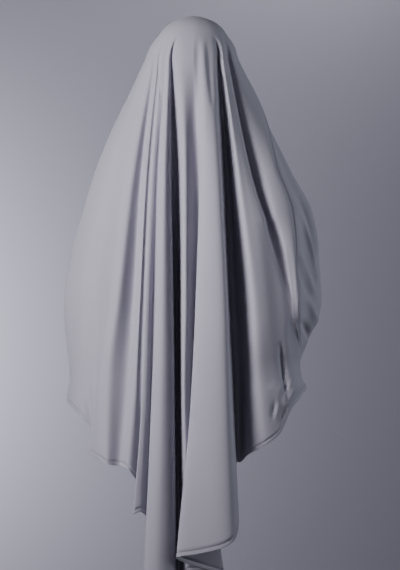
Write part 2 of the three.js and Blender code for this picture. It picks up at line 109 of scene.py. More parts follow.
# %% Outline
# down is a share of HANG, left and right are shares of REACH, back of BACK and front of FRONT.
OUTLINE = [
    dict(down=0.0, left=0.0, right=0.0, back=0.0, front=0.0),
    dict(down=0.0034, left=0.105, right=0.085, back=0.2, front=0.2),
    dict(down=0.0102, left=0.18, right=0.172, back=0.35, front=0.35),
    dict(down=0.0222, left=0.252, right=0.245, back=0.47, front=0.47),
    dict(down=0.0426, left=0.32, right=0.306, back=0.575, front=0.56),
    dict(down=0.0767, left=0.391, right=0.36, back=0.655, front=0.6),
    dict(down=0.128, left=0.496, right=0.457, back=0.715, front=0.6),
    dict(down=0.196, left=0.643, right=0.593, back=0.78, front=0.62),
    dict(down=0.264, left=0.765, right=0.748, back=0.84, front=0.75),
    dict(down=0.333, left=0.862, right=0.903, back=0.9, front=0.87),
    dict(down=0.401, left=0.953, right=0.963, back=0.94, front=0.94),
    dict(down=0.486, left=1.012, right=0.997, back=0.97, front=0.99),
    dict(down=0.505, left=1.012, right=0.985, back=0.98, front=1.0),
    dict(down=0.554, left=0.996, right=0.9, back=1.0, front=1.0),
    dict(down=0.598, left=0.975, right=0.83, back=1.0, front=0.99),
    dict(down=0.622, left=0.968, right=0.845, back=1.0, front=0.98),
    dict(down=0.64, left=0.98, right=0.88, back=1.0, front=0.97),
    dict(down=0.665, left=0.992, right=0.88, back=1.0, front=0.97),
    dict(down=1.0, left=0.992, right=0.88, back=1.02, front=0.97),
]
print(len(OUTLINE), "heights of the outline")

# %% Folds of the back
# at is the place sideways, as shares of REACH, at the neck, shoulder, elbow, wrist and hem. out is
# how far the fold stands out there, as shares of FOLD. hem is the height of the hem at the fold, as
# a share of HANG. round is the width of a flat bottom, as a share of FOLD.
BACK_FOLDS = [
    dict(name="wing", at=[-0.37, -0.69, -0.88, -0.885, -0.885], out=[0, 0, 0, 0, 0.05], hem=0.685),
    dict(name="wing_hollow", at=[-0.355, -0.635, -0.83, -0.81, -0.775],
         out=[0, 0, 0, -0.05, -0.4], hem=0.717),
    dict(name="wing_edge", at=[-0.345, -0.605, -0.75, -0.76, -0.82],
         out=[0, 0, 0, 0.02, 0.08], hem=0.746),
    dict(name="soft_hollow", at=[-0.333, -0.55, -0.64, -0.717, -0.735],
         out=[0, -0.02, -0.05, -0.05, -0.04], hem=0.758),
    dict(name="panel_crest", at=[-0.322, -0.475, -0.58, -0.655, -0.67],
         out=[0, 0.06, 0.08, 0.09, 0.09], hem=0.7665),
    dict(name="left_hollow", at=[-0.302, -0.413, -0.472, -0.515, -0.575],
         out=[-0.07, -0.24, -0.32, -0.3, -0.25], hem=0.769),
    dict(name="second_crest", at=[-0.283, -0.372, -0.418, -0.453, -0.505],
         out=[0.05, 0.14, 0.14, 0.12, 0.1], hem=0.776),
    dict(name="thin_hollow", at=[-0.27, -0.347, -0.392, -0.41, -0.375],
         out=[0, 0.06, 0.04, 0, -0.5], hem=0.81, round=0.05),
    dict(name="third_crest", at=[-0.25, -0.322, -0.367, -0.387, -0.472],
         out=[0.04, 0.12, 0.12, 0.12, 0.16], hem=0.85),
    dict(name="third_flank", at=[-0.235, -0.3, -0.343, -0.36, -0.405],
         out=[0.02, 0.08, 0.1, 0.1, 0.1], hem=0.846),
    dict(name="roll_hollow", at=[-0.222, -0.283, -0.314, -0.328, -0.315],
         out=[0.02, 0.02, -0.08, -0.12, -0.5], hem=0.868, round=0.065),
    dict(name="roll_edge", at=[-0.208, -0.26, -0.287, -0.31, -0.395],
         out=[0.05, 0.24, 0.26, 0.26, 0.26], hem=0.978),
    dict(name="roll_crest", at=[-0.196, -0.225, -0.235, -0.24, -0.28],
         out=[0.08, 0.36, 0.43, 0.46, 0.5], hem=1.0),
    dict(name="roll_flank", at=[-0.184, -0.18, -0.17, -0.158, -0.155],
         out=[0.02, 0.12, 0.2, 0.2, 0.2], hem=0.987),
    dict(name="middle_hollow", at=[-0.175, -0.155, -0.135, -0.13, -0.115],
         out=[-0.1, -0.5, -0.95, -1, -1], hem=0.972, round=0.12),
    dict(name="middle_flank", at=[-0.15, -0.112, -0.1, -0.1, -0.075],
         out=[0.02, -0.1, 0, 0, -0.25], hem=0.958),
    dict(name="middle_crest", at=[-0.1, -0.065, -0.062, -0.072, -0.04],
         out=[0.08, 0.26, 0.3, 0.3, -0.05], hem=0.948),
    dict(name="tail_hollow", at=[-0.005, 0.018, 0.03, 0.035, 0.22],
         out=[0.08, -0.12, -0.28, -0.35, -0.8], hem=0.955, round=0.15),
    dict(name="tail_edge", at=[0.03, 0.04, 0.01, -0.018, -0.15],
         out=[0.05, 0.1, 0.24, 0.28, 0.4], hem=0.924),
    dict(name="tail_crest", at=[0.075, 0.095, 0.085, 0.07, 0.047],
         out=[0.14, 0.4, 0.52, 0.55, 0.72], hem=0.9155),
    dict(name="tail_shoulder", at=[0.125, 0.19, 0.235, 0.25, 0.28],
         out=[0.08, 0.46, 0.58, 0.6, 0.72], hem=0.9),
    dict(name="tail_flank", at=[0.165, 0.225, 0.265, 0.29, 0.345],
         out=[0.06, 0.02, 0.05, 0.05, 0.25], hem=0.8745),
    dict(name="deep_hollow", at=[0.19, 0.258, 0.302, 0.335, 0.345],
         out=[-0.2, -0.85, -1.15, -1.15, -1.1], hem=0.764, round=0.13),
    dict(name="deep_flank", at=[0.21, 0.295, 0.37, 0.395, 0.415],
         out=[0, -0.35, -0.6, -0.6, -0.5], hem=0.7505),
    dict(name="fourth_crest", at=[0.225, 0.345, 0.45, 0.49, 0.545],
         out=[0.14, 0.2, 0.12, 0.1, 0.05], hem=0.735),
    dict(name="corner", at=[0.236, 0.385, 0.54, 0.6, 0.65],
         out=[0.12, 0.19, 0.14, 0.25, 0.25], hem=0.718),
    dict(name="cuff_hollow", at=[0.246, 0.42, 0.62, 0.665, 0.69],
         out=[0.08, 0.16, 0.12, 0.36, 0.32], hem=0.704),
    dict(name="cuff_crest", at=[0.254, 0.445, 0.7, 0.735, 0.748],
         out=[0.02, 0.1, 0.08, 0.6, 0.5], hem=0.6755),
    dict(name="side_hollow", at=[0.264, 0.468, 0.752, 0.782, 0.8],
         out=[-0.18, -0.3, -0.05, 0.3, 0.3], hem=0.661),
    dict(name="side_crest", at=[0.302, 0.56, 0.77, 0.812, 0.845],
         out=[0.05, 0.14, 0.06, 0.08, 0.1], hem=0.648),
]
print(len(BACK_FOLDS), "folds of the back")

# %% Folds of the front
# turn is the angle in degrees round the head, from 0 at the back and 90 at the right.
FRONT_FOLDS = [
    dict(name="right_seam", turn=[102, 53, 51.2, 83, 86], out=[0, 0.3, 0.18, 0, 0], hem=0.6395),
    dict(name="sleeve_hollow", turn=[111, 70, 63, 92, 95], out=[0, -0.06, -0.04, 0, 0], hem=0.6395),
    dict(name="sleeve_crest", turn=[118, 79, 75, 99, 102], out=[0, 0.03, 0.03, 0, 0], hem=0.641),
    dict(name="right_edge", turn=[126, 90, 90, 108, 110], out=[0, 0, 0, 0, 0], hem=0.645),
    dict(name="right_hollow", turn=[133, 109, 108, 119, 121],
         out=[0, -0.05, -0.1, -0.15, -0.2], hem=0.665),
    dict(name="right_crest", turn=[142, 127, 125, 131, 133], out=[0, 0.1, 0.13, 0.15, 0.25], hem=0.69),
    dict(name="chest_hollow_right", turn=[152, 145, 143, 146, 147],
         out=[0, -0.12, -0.2, -0.25, -0.35], hem=0.714),
    dict(name="chest_crest_right", turn=[165, 163, 161, 162, 162],
         out=[0, 0.1, 0.15, 0.15, 0.2], hem=0.729),
    dict(name="chest_middle", turn=[180, 180, 180, 180, 180],
         out=[0, -0.1, -0.1, -0.15, -0.15], hem=0.734),
    dict(name="chest_crest_left", turn=[195, 197, 199, 199, 199],
         out=[0, 0.1, 0.15, 0.2, 0.25], hem=0.729),
    dict(name="chest_hollow_left", turn=[209, 215, 217, 217, 217],
         out=[0, -0.12, -0.2, -0.25, -0.35], hem=0.714),
    dict(name="left_crest", turn=[223, 233, 235, 235, 235], out=[0, 0.1, 0.13, 0.15, 0.25], hem=0.692),
    dict(name="left_hollow_front", turn=[235, 249, 250, 250, 250],
         out=[0, -0.03, -0.05, -0.08, -0.1], hem=0.672),
    dict(name="left_seam", turn=[248, 262, 262, 262, 262], out=[0, 0, 0, 0, 0], hem=0.662),
    dict(name="left_edge", turn=[263, 271, 271, 271, 271], out=[0, 0, 0, 0, 0], hem=0.663),
]
print(len(FRONT_FOLDS), "folds of the front")

# %% [markdown]
# ## The form of the cloth
# On the real cloth a fold starts at the head and widens as it falls. Each fold is a guide from the
# crown to the hem. A row of the cloth is one closed curve through all the guides, as it is in the
# solids, only finer. A sculpted mesh could look the same, but it couldn't follow a changed size.

# %% Curves
# All are shares of the way down. CROWN is where the rounded crown ends, and the next four are the
# heights that the tables give. The folds begin at FOLD_START and have left the head at FOLD_FREE.
# EVEN_HEM is the mean height of the hem, and from BEND on the rows begin to follow the real one.
CROWN = 0.2
NECK, SHOULDER, ELBOW, WRIST = 0.077, 0.281, 0.486, 0.622
FOLD_START, FOLD_FREE = 0.03, 0.1
EVEN_HEM, BEND = 0.708, 0.5


def along(down):
    """Distance along the cloth: the square root of down near the crown, and down itself below."""
    down = np.asarray(down, float)
    return np.where(down < CROWN / 2, np.sqrt(2 * CROWN * np.maximum(down, 0)), down + CROWN / 2)


def down_at(share):
    """The height that a distance along the cloth belongs to: along, turned round."""
    return np.where(share < CROWN, share * share / (2 * CROWN), share - CROWN / 2)


def smooth(low, high, value):
    """A step from 0 to 1 between low and high: 3 t squared minus 2 t cubed."""
    t = np.clip((value - low) / (high - low), 0, 1)
    return t * t * (3 - 2 * t)


def through(keys, values, at):
    """A cubic curve through (keys, values). Its slope at a key is the harmonic mean of the rises
    on both sides, or 0 at a peak, so it never swings past a value."""
    keys, values = np.asarray(keys, float), np.asarray(values, float)
    rises = np.diff(values) / np.diff(keys)
    before, after = rises[:-1], rises[1:]
    same = before * after > 0
    total = np.where(same, before + after, 1)
    slopes = np.concatenate([rises[:1], np.where(same, 2 * before * after / total, 0), rises[-1:]])
    i = np.clip(np.searchsorted(keys, at, side="right") - 1, 0, len(keys) - 2)
    width = keys[i + 1] - keys[i]
    t = np.clip((at - keys[i]) / width, 0, 1)
    first = (2 * t**3 - 3 * t**2 + 1) * values[i] + (t**3 - 2 * t**2 + t) * width * slopes[i]
    second = (3 * t**2 - 2 * t**3) * values[i + 1] + (t**3 - t**2) * width * slopes[i + 1]
    return first + second


print("the folds are given at", NECK, SHOULDER, ELBOW, "and", WRIST, "of the way down")


# %% The outline at a height
def section(down):
    """The outline at a height: its middle, half width, depth behind, depth in front, flatness."""
    heights = along([row["down"] for row in OUTLINE])
    sizes = dict(left=REACH, right=REACH, back=BACK, front=FRONT)
    left, right, back, front = (
        through(heights, [row[column] * size for row in OUTLINE], along(down))
        for column, size in sizes.items()
    )
    return (right - left) / 2, (right + left) / 2, back, front, FLATNESS * smooth(NECK, ELBOW, down)


def depth_of(depth, flat, share):
    """Depth at a share of the half width: an ellipse, made flatter across its middle."""
    fall = np.maximum(0, 1 - share**2)
    return depth * np.sqrt(fall) * (1 + 4 * flat * share**2 * fall)


print("half width at the elbow", round(float(section(np.array(ELBOW))[1]), 1), "mm")


# %% Guides
def keys_of(fold):
    """The five heights that a fold's row gives its numbers at."""
    return [NECK, SHOULDER, ELBOW, WRIST, fold["hem"]]


def swell_of(fold, down):
    """How far a fold stands out at a height, in millimetres, fading in below the crown."""
    swell = through(keys_of(fold), [share * FOLD for share in fold["out"]], down)
    return swell * smooth(FOLD_START, NECK, down)


def back_guide(fold, shift, down):
    """A fold of the back: x from its table, and y the outline's depth plus the fold's own."""
    sideways = through(keys_of(fold), [share * REACH for share in fold["at"]], down)
    middle, half, back, _, flat = section(down)
    neck_middle, neck_half = (float(x) for x in section(np.array(NECK))[:2])
    on_head = middle + half * (fold["at"][0] * REACH - neck_middle) / neck_half
    x = on_head + (sideways - on_head) * smooth(FOLD_START, FOLD_FREE, down)
    share = np.clip((x - middle) / np.maximum(half, 1e-9), -1, 1)
    aside = shift * smooth(FOLD_START, SHOULDER, down)
    return x + aside, -depth_of(back, flat, share) - swell_of(fold, down)


def front_guide(fold, down):
    """A fold of the front: the outline's point at the fold's angle, moved out by the fold."""
    angle = np.radians(through(keys_of(fold), fold["turn"], down))
    middle, half, back, front, flat = section(down)
    share = np.sin(angle)
    behind = np.cos(angle) > 0
    depth = np.where(behind, depth_of(back, flat, share), -depth_of(front, 0, share))
    swell = swell_of(fold, down)
    return middle + half * share + swell * share, -depth - swell * np.cos(angle)


# The row of guides starts at the seam on the left. A fold with a flat bottom has two of them.
guides = [(fold, 0) for fold in FRONT_FOLDS[-2:]]
for fold in BACK_FOLDS:
    if "round" in fold:
        guides += [(fold, -fold["round"] * FOLD / 2), (fold, fold["round"] * FOLD / 2)]
    else:
        guides.append((fold, 0))
SEAM_RIGHT = len(guides)
guides += [(fold, 0) for fold in FRONT_FOLDS[:-2]]
print(len(guides), "guides, of which the seam on the right is number", SEAM_RIGHT)


# %% The cloth as a grid
ROWS = 180
BACK_STEPS = 7
FRONT_STEPS = 9


def knots(t):
    """The guides' own points at the shares t of the way down. Result: guide, row, coordinate."""
    bend = np.maximum(0, (t - BEND) / (1 - BEND)) ** 1.5
    points = []
    for fold, shift in guides:
        down = down_at(t * along(EVEN_HEM)) + (fold["hem"] - EVEN_HEM) * bend
        x, y = back_guide(fold, shift, down) if "at" in fold else front_guide(fold, down)
        points.append(np.stack([x, y, WALL - down * HANG], axis=-1))
    return np.array(points)


def closed_curve(points, shares):
    """A closed centripetal Catmull-Rom curve through points, at shares of its length in points.
    Result: row, column, coordinate."""
    count = len(points)
    k = np.floor(shares).astype(int) % count
    w = (shares - np.floor(shares))[:, None, None]
    p0, p1, p2, p3 = (points[(k + step) % count] for step in (-1, 0, 1, 2))
    d0, d1, d2 = (
        np.maximum(np.linalg.norm(b - a, axis=-1, keepdims=True) ** 0.5, 1e-2)
        for a, b in ((p0, p1), (p1, p2), (p2, p3))
    )
    t1 = ((p1 - p0) / d0 - (p2 - p0) / (d0 + d1) + (p2 - p1) / d1) * d1
    t2 = ((p2 - p1) / d1 - (p3 - p1) / (d1 + d2) + (p3 - p2) / d2) * d1
    c2 = -3 * p1 + 3 * p2 - 2 * t1 - t2
    c3 = 2 * p1 - 2 * p2 + t1 + t2
    return (p1 + t1 * w + c2 * w**2 + c3 * w**3).transpose(1, 0, 2)


steps = [BACK_STEPS if 1 <= k < SEAM_RIGHT else FRONT_STEPS for k in range(len(guides))]
columns = np.concatenate([k + np.arange(n) / n for k, n in enumerate(steps)])
SEAM_COLUMN = int(sum(steps[:SEAM_RIGHT]))
row_shares = np.arange(1, ROWS + 1) / ROWS
cloth = closed_curve(knots(row_shares), columns)
print("the cloth is a grid of", cloth.shape[0], "rows and", cloth.shape[1], "columns")


# %% [markdown]
# ## Softening
# Crepe never creases to a sharp line, and over the head it lies smooth. Evening out the points of
# each row a little rounds the folds, and evening the crown's rows a lot leaves the crown plain. A
# smoothing modifier would do it too, but it would also draw in the hem.

# %% Soften the folds
# CROWN_END holds the shares of HANG between which the evening of the crown fades out.
SOFT_TURNS = 2
CROWN_TURNS = 160
CROWN_END = (0.03, 0.055)


def soften(grid, turns):
    """Moves each point half way to the mean of its neighbours in its row, turns times."""
    for _ in range(turns):
        beside = (np.roll(grid, 1, axis=1) + np.roll(grid, -1, axis=1)) / 2
        grid = (grid + beside) / 2
    return grid


cloth = soften(cloth, SOFT_TURNS)
crown_share = 1 - smooth(*CROWN_END, (WALL - cloth[..., 2:]) / HANG)
crown_rows = int((crown_share[:, 0, 0] > 0).sum())
smooth_crown = soften(cloth[:crown_rows], CROWN_TURNS)
cloth[:crown_rows] += (smooth_crown - cloth[:crown_rows]) * crown_share[:crown_rows]
print("rows of the crown that are smoothed:", crown_rows)


# %% Which way the cloth faces
def unit(vectors):
    """Vectors made one long: each divided by its own length."""
    return vectors / np.maximum(np.linalg.norm(vectors, axis=-1, keepdims=True), 1e-9)


def facing(grid):
    """Unit normals of a closed grid, from the cross product of its steps down and across."""
    across = np.roll(grid, -1, axis=1) - np.roll(grid, 1, axis=1)
    return unit(np.cross(np.gradient(grid, axis=0), across))


normals = facing(cloth)
print("points that face back:", int((normals[..., 1] < 0).sum()), "of", normals[..., 1].size)

# %% [markdown]
# ## Creases and slack
# The guides give the folds. What is left is small: the short creases at the wrist and the sleeve, and
# the slow, shallow waves of slack cloth. A bump texture could show them, but it would be flat at the
# outline, so they move the points themselves.

# %% Creases
# Each row is one crease, drawn in the photograph's view: x and z in millimetres at its start, middle
# and end. rise is its height, and below 0 it is a groove. wide is its half width. side is the panel
# that it is on.
CREASES = [
    dict(x=(-78, -75, -69), z=(-97, -165, -183), rise=-2.2, wide=3.5, side="back"),
    dict(x=(28, 35, 42), z=(-59, -143, -205), rise=-3.5, wide=5, side="back"),
    dict(x=(46, 64, 63), z=(-66, -120, -136), rise=2.5, wide=4, side="back"),
    dict(x=(-233, -229, -226), z=(-843, -875, -906), rise=-3, wide=5, side="back"),
    dict(x=(192, 197, 206), z=(-720, -781, -840), rise=-9, wide=7, side="back"),
    dict(x=(228, 223, 215), z=(-680, -765, -850), rise=10, wide=9, side="back"),
    dict(x=(198, 213, 227), z=(-510, -620, -710), rise=5, wide=6, side="back"),
    dict(x=(166, 184, 196), z=(-450, -590, -740), rise=-9, wide=26, side="back"),
    dict(x=(213, 229, 246), z=(-854, -834, -816), rise=-5, wide=4, side="back"),
    dict(x=(205, 219, 233), z=(-842, -820, -800), rise=4, wide=5, side="back"),
    dict(x=(203, 210, 219), z=(-851, -827, -801), rise=-5, wide=4, side="back"),
    dict(x=(169, 174, 178), z=(-886, -869, -847), rise=-4, wide=4, side="back"),
    dict(x=(176, 181, 186), z=(-888, -871, -850), rise=3, wide=4, side="back"),
    dict(x=(191, 198, 211), z=(-893, -873, -856), rise=-5, wide=4, side="back"),
    dict(x=(240, 266, 271), z=(-385, -470, -550), rise=5, wide=4, side="front"),
    dict(x=(216, 253, 274), z=(-405, -496, -590), rise=7, wide=4, side="front"),
    dict(x=(228, 260, 270), z=(-395, -480, -570), rise=-5, wide=4, side="front"),
    dict(x=(219, 242, 268), z=(-500, -551, -620), rise=5, wide=5, side="front"),
    dict(x=(215, 232, 258), z=(-505, -560, -625), rise=-5, wide=5, side="front"),
    dict(x=(238, 252, 264), z=(-672, -700, -730), rise=-8, wide=6, side="front"),
    dict(x=(246, 262, 276), z=(-620, -650, -690), rise=5, wide=7, side="front"),
]
print(len(CREASES), "creases")


# %% Lift the cloth
# Lengths are in millimetres. The valley is where the seam lies, and SEAM_VALLEY is its half width.
CREASE_STEPS = 60
CREASE_REACH = 30
SLACK_SEED = 7
SLACK_WAVES = 9
SLACK_RISE = 0.5
SEAM_GROOVE = 2.4
SEAM_VALLEY = 4.0


def crease_rise(grid, crease):
    """How far a crease lifts each point: a bell across the crease, fading to nothing at its ends.
    The crease's line is the parabola through its start, middle and end."""
    s = np.linspace(0, 1, CREASE_STEPS)
    parts = np.stack([2 * (s - 0.5) * (s - 1), 4 * s * (1 - s), 2 * s * (s - 0.5)])
    line_x, line_z = parts.T @ np.array(crease["x"]), parts.T @ np.array(crease["z"])
    low, high = line_z.min() - CREASE_REACH, line_z.max() + CREASE_REACH
    near = (grid[..., 2] > low) & (grid[..., 2] < high)
    x, z = grid[near][:, 0], grid[near][:, 2]
    gap = np.hypot(x[:, None] - line_x, z[:, None] - line_z)
    best = gap.argmin(axis=1)
    fade = np.sin(np.pi * np.clip(s[best], 0, 1)) ** 0.6
    result = np.zeros(grid.shape[:2])
    result[near] = crease["rise"] * np.exp(-((gap.min(axis=1) / crease["wide"]) ** 2)) * fade
    return result


def slack(grid, seed, count, rise):
    """Shallow waves of slack cloth: a sum of sines, longer down the cloth than across it. Each has
    a whole number of waves round the body, so it closes."""
    chance = np.random.default_rng(seed)
    angle = np.arctan2(grid[..., 0], -grid[..., 1])
    total = np.zeros(grid.shape[:2])
    for _ in range(count):
        waves, down = chance.integers(5, 15), chance.uniform(0.004, 0.02)
        phase, share = chance.uniform(0, 2 * np.pi), chance.uniform(0.4, 1)
        total += share * np.sin(waves * angle + down * grid[..., 2] + phase)
    return rise * total / count**0.5 * smooth(60, 260, -grid[..., 2])


lift = slack(cloth, SLACK_SEED, SLACK_WAVES, SLACK_RISE)
seen_back = normals[..., 1] < 0.1
number = np.arange(cloth.shape[1])
panel_share = dict(back=smooth(0, 4, SEAM_COLUMN - number), front=smooth(0, 3, number - SEAM_COLUMN))
for crease in CREASES:
    lift += crease_rise(cloth, crease) * seen_back * panel_share[crease["side"]]
from_seam = np.linalg.norm(cloth - cloth[:, SEAM_COLUMN, None], axis=-1)
groove = np.exp(-((from_seam / SEAM_VALLEY) ** 2)) * (np.abs(number - SEAM_COLUMN) < 16)
lift -= SEAM_GROOVE * groove * smooth(60, 200, -cloth[..., 2])
cloth = cloth + normals * lift[..., None]
normals = facing(cloth)
print("the largest lift is", round(float(np.abs(lift).max()), 1), "mm")


# %% [markdown]
# ## Making a mesh of a grid
# A piece of cloth is two grids, its outer and its inner face, joined at every open edge. Solidify
# could give the second face, but it swells at tight folds. Here the thickness is exact.

# %% A mesh from arrays
def object_of(name, points, corners, sizes):
    """A mesh object from points in millimetres, the faces' corners and each face's corner count."""
    mesh = bpy.data.meshes.new(name)
    mesh.vertices.add(len(points))
    mesh.vertices.foreach_set("co", (np.asarray(points) * MM).astype(np.float32).ravel())
    mesh.loops.add(len(corners))
    mesh.loops.foreach_set("vertex_index", np.asarray(corners, np.int32))
    mesh.polygons.add(len(sizes))
    starts = np.concatenate([[0], np.cumsum(sizes)[:-1]]).astype(np.int32)
    mesh.polygons.foreach_set("loop_start", starts)
    mesh.update(calc_edges=True)
    mesh.validate()
    mesh.polygons.foreach_set("use_smooth", np.ones(len(mesh.polygons), bool))
    made = bpy.data.objects.new(name, mesh)
    bpy.context.scene.collection.objects.link(made)
    return made


def grid_faces(rows, width, keep=None):
    """The four corners of each face of a grid, facing out. keep says which faces to make."""
    r, c = np.meshgrid(np.arange(rows - 1), np.arange(width - 1), indexing="ij")
    if keep is not None:
        r, c = r[keep], c[keep]
    first = (r * width + c).ravel()
    return np.stack([first, first + width, first + width + 1, first + 1], axis=1)


def shell(name, outer, inner, faces):
    """A closed sheet: the outer face, the inner face turned round, and a wall along each edge that
    only one face has."""
    count = len(outer)
    edges = np.concatenate([faces[:, [i, (i + 1) % 4]] for i in range(4)])
    code = edges[:, 0].astype(np.int64) * count + edges[:, 1]
    back = edges[:, 1].astype(np.int64) * count + edges[:, 0]
    open_edges = edges[~np.isin(code, back) & (edges[:, 0] != edges[:, 1])]
    a, b = open_edges.T
    walls = np.stack([b, a, a + count, b + count], axis=1)
    quads = np.concatenate([faces, faces[:, ::-1] + count, walls])
    used = np.zeros(2 * count, bool)
    used[quads.ravel()] = True
    place = np.cumsum(used) - 1
    points = np.concatenate([outer, inner])[used]
    return object_of(name, points, place[quads].ravel(), np.full(len(quads), 4))


# %% A bar from rings, and places on a grid
def tube(name, rings, closed=False):
    """A closed bar from rings of points, one ring after another. Its ends are capped, or joined."""
    count, size = rings.shape[:2]
    steps = count if closed else count - 1
    i, k = (x.ravel() for x in np.meshgrid(np.arange(steps), np.arange(size), indexing="ij"))
    j, m = (i + 1) % count, (k + 1) % size
    quads = np.stack([i * size + k, j * size + k, j * size + m, i * size + m], axis=1)
    corners, sizes = [quads.ravel()], [np.full(len(quads), 4)]
    if not closed:
        ends = [np.arange(size), (count - 1) * size + np.arange(size)[::-1]]
        corners += ends
        sizes += [[size], [size]]
    return object_of(name, rings.reshape(-1, 3), np.concatenate(corners), np.concatenate(sizes))


def rows_at(grid, places):
    """A grid's points at fractions of its rows, one fraction for each column and new row."""
    low = np.clip(np.floor(places).astype(int), 0, len(grid) - 2)
    w = (places - low)[..., None]
    above = np.take_along_axis(grid, low[..., None], axis=0)
    below = np.take_along_axis(grid, low[..., None] + 1, axis=0)
    return above * (1 - w) + below * w


def places_above_edge(grid, height):
    """The row fraction of each column that is a height above the hem's edge, along the cloth."""
    step = np.linalg.norm(np.diff(grid, axis=0), axis=-1)[::-1]
    run = np.concatenate([np.zeros((1, grid.shape[1])), np.cumsum(step, axis=0)])
    row = np.argmax(run >= height, axis=0)
    before = np.take_along_axis(run, row[None] - 1, axis=0)[0]
    after = np.take_along_axis(run, row[None], axis=0)[0]
    return len(grid) - 1 - (row - 1 + (height - before) / (after - before))


print("the hem begins", round(float(places_above_edge(cloth, HEM_HEIGHT).mean()), 1), "rows down")

# %% [markdown]
# ## The two panels
# A maker cuts two panels, sews them down the sides, binds the opening for the face with a band, and
# turns and stitches the lower edge. The pieces here are the same. One mesh with painted seams would
# be simpler, but then no panel could be taken off or recoloured.

# %% The two panels
apex = np.broadcast_to(np.array([0.0, 0.0, WALL]), (1, cloth.shape[1], 3))
apex_normal = np.broadcast_to(np.array([0.0, 0.0, 1.0]), (1, cloth.shape[1], 3))
whole = np.concatenate([apex, cloth])
whole_normals = np.concatenate([apex_normal, normals])
parts = {
    "back": np.arange(SEAM_COLUMN + 1),
    "front": np.arange(SEAM_COLUMN, whole.shape[1] + 1) % whole.shape[1],
}
panel_rows = np.arange(ROWS + 1)[:, None] / ROWS


def panel_grid(part):
    """A panel's outer face and normals, ending where its hem begins."""
    grid, normal = whole[:, parts[part]], whole_normals[:, parts[part]]
    places = panel_rows * places_above_edge(grid, HEM_HEIGHT - 0.2)
    return rows_at(grid, places), rows_at(normal, places)


def apex_faces(rows, width, keep=None):
    """The faces of a grid whose first row is one point."""
    faces = grid_faces(rows, width, keep)
    return np.where(faces < width, 0, faces)


back_outer, back_normals = panel_grid("back")
rows, width = back_outer.shape[:2]
back_cloth = shell(
    "back_cloth",
    back_outer.reshape(-1, 3),
    (back_outer - back_normals * CLOTH).reshape(-1, 3),
    apex_faces(rows, width),
)
print("back_cloth:", len(back_cloth.data.polygons), "faces")

# %% [markdown]
# ## The opening for the face
# The front panel has an oval hole. A Boolean would leave thin, broken faces on its rim, so here the
# faces inside the oval are left out, and the last points inside it are moved out to its line.

# %% The front panel and the opening for the face
RIM_GROW = 1.0
face_middle = -(FACE_TOP + FACE_HEIGHT / 2)
front_outer, front_normals = panel_grid("front")
rows, width = front_outer.shape[:2]
in_front = front_normals[..., 1] > 0.05


def oval_radius(points, grow=0.0):
    """How far points are from the oval's middle, as a share of the oval: 1 is on its line."""
    across = points[..., 0] / (FACE_WIDTH / 2 + grow)
    upwards = (points[..., 2] - face_middle) / (FACE_HEIGHT / 2 + grow)
    return np.hypot(across, upwards)


inside = (oval_radius(front_outer, RIM_GROW) < 1) & in_front
face_inside = inside[:-1, :-1] & inside[1:, :-1] & inside[1:, 1:] & inside[:-1, 1:]
scale = np.where(inside, 1 / np.maximum(oval_radius(front_outer, RIM_GROW), 1e-3), 1)
move_x = front_outer[..., 0] * (scale - 1)
move_z = (front_outer[..., 2] - face_middle) * (scale - 1)
slope = front_normals / np.where(in_front, front_normals[..., 1], 1)[..., None]
move_y = -(slope[..., 0] * move_x + slope[..., 2] * move_z)
snapped = front_outer + np.stack([move_x, move_y, move_z], axis=-1)
front_cloth = shell(
    "front_cloth",
    snapped.reshape(-1, 3),
    (snapped - front_normals * CLOTH).reshape(-1, 3),
    apex_faces(rows, width, ~face_inside),
)
print("front_cloth:", len(front_cloth.data.polygons), "faces")

# %% [markdown]
# ## The band round the face
# The opening is bound with a folded strip, so that it holds its shape on the face. The strip's
# section is a profile, carried round the oval on the front's surface. A bevelled curve would be
# round, and a folded strip is flat.

# %% Band round the face
# The band's section: shares of its width from its outer edge, and millimetres out from the middle
# of the cloth.
BAND_SECTION = [
    dict(width=0.0, out=0.0),
    dict(width=0.03, out=0.8),
    dict(width=0.12, out=1.25),
    dict(width=0.5, out=1.4),
    dict(width=0.88, out=1.35),
    dict(width=0.98, out=0.9),
    dict(width=1.0, out=0.0),
    dict(width=0.98, out=-0.9),
    dict(width=0.88, out=-1.2),
    dict(width=0.5, out=-1.2),
    dict(width=0.12, out=-1.1),
    dict(width=0.03, out=-0.8),
]
BAND_RINGS = 120
BAND_EVENING = 4
turn = np.arange(BAND_RINGS) / BAND_RINGS * 2 * np.pi


def on_front(grow):
    """Points of the front's outer face over the oval, and the normals there. Each is the nearest
    grid point, moved to the oval's line in the plane of the cloth."""
    x = (FACE_WIDTH / 2 + grow) * np.cos(turn)
    z = face_middle + (FACE_HEIGHT / 2 + grow) * np.sin(turn)
    points, normal = front_outer[in_front], front_normals[in_front]
    near = np.hypot(x[:, None] - points[:, 0], z[:, None] - points[:, 2]).argmin(axis=1)
    p, n = points[near], normal[near]
    y = p[:, 1] - (n[:, 0] * (x - p[:, 0]) + n[:, 2] * (z - p[:, 2])) / n[:, 1]
    for _ in range(BAND_EVENING):
        y = (np.roll(y, 1) + 2 * y + np.roll(y, -1)) / 4
    return np.stack([x, y, z], axis=-1), n


